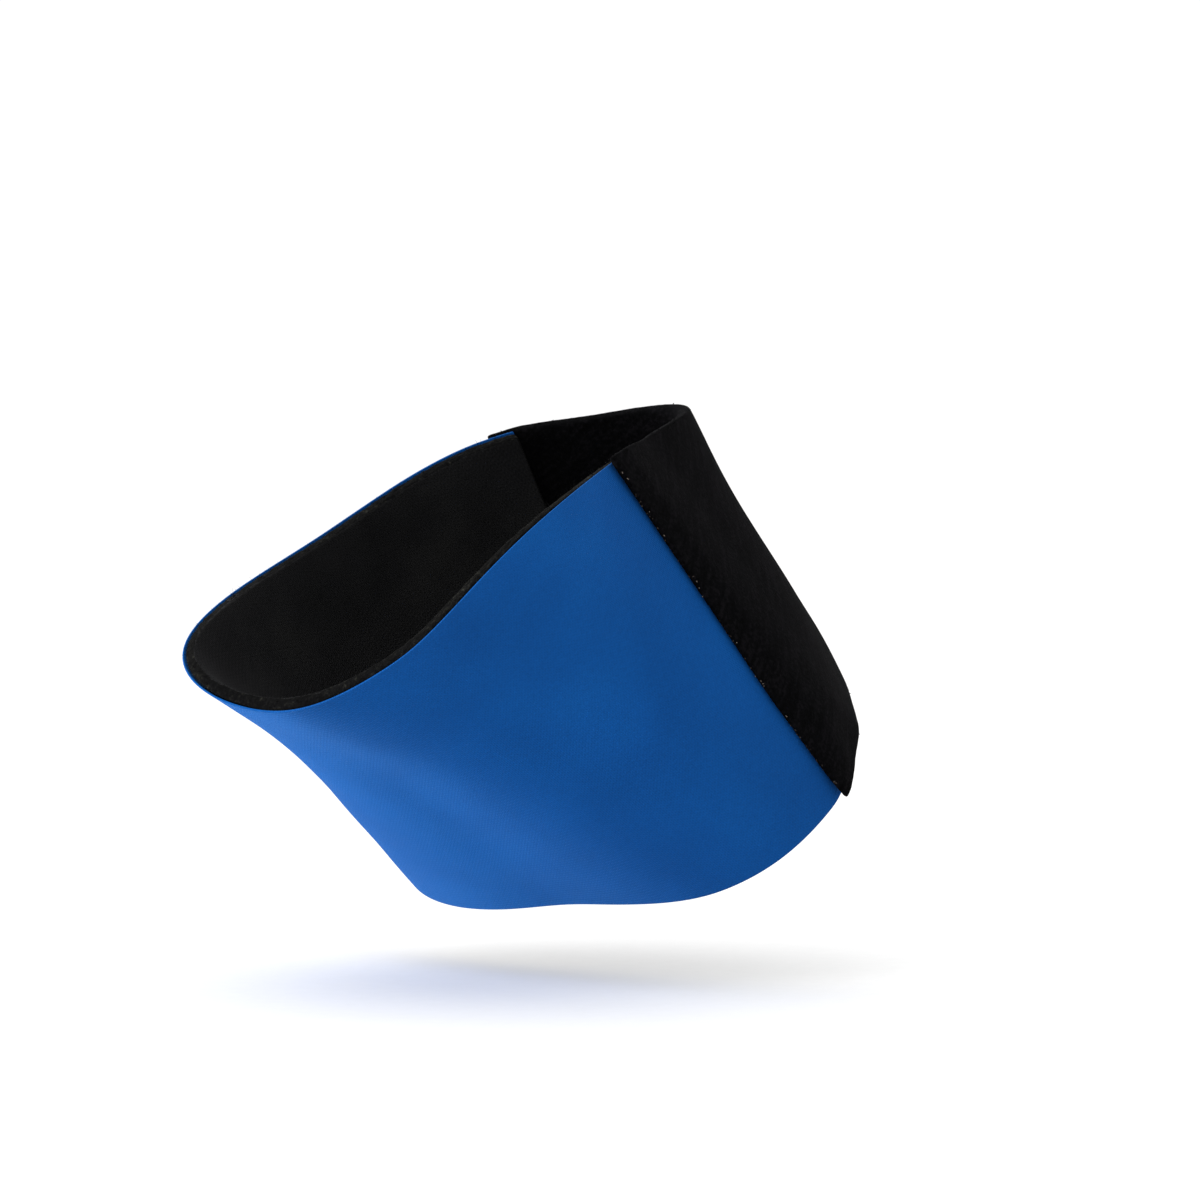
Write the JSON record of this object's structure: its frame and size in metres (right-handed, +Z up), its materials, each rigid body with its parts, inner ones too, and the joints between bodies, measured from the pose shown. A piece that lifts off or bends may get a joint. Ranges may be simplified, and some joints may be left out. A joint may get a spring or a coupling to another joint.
{
  "type": "arch support sleeve",
  "caption": "Short tapered sleeve worn round the arch of the foot, with a foam wall under a knitted face and a loop-pile panel over the instep.",
  "frame": {"origin": "middle of the hollow that the foot fills, halfway between the rear and the front edge, where the foot holds the sleeve up", "axes": "+X level and forward to the toes, +Y level to the lateral side of the foot, +Z up. The sleeve keeps the pose in which it is worn with the heel raised by 26.5 degrees."},
  "size_m": [0.1381, 0.1013, 0.0966],
  "materials": {
    "foam": "matte black foam with a napped lining and a cut, slightly fuzzy edge",
    "knit_face": "fine blue jersey bonded to foam, soft sheen",
    "loop_pile": "black brushed loop pile, fully matte"
  },
  "bodies": {
    "root": {"foam_core": "foam", "neoprene_face": "knit_face", "instep_panel": "loop_pile"}
  },
  "joints": []
}
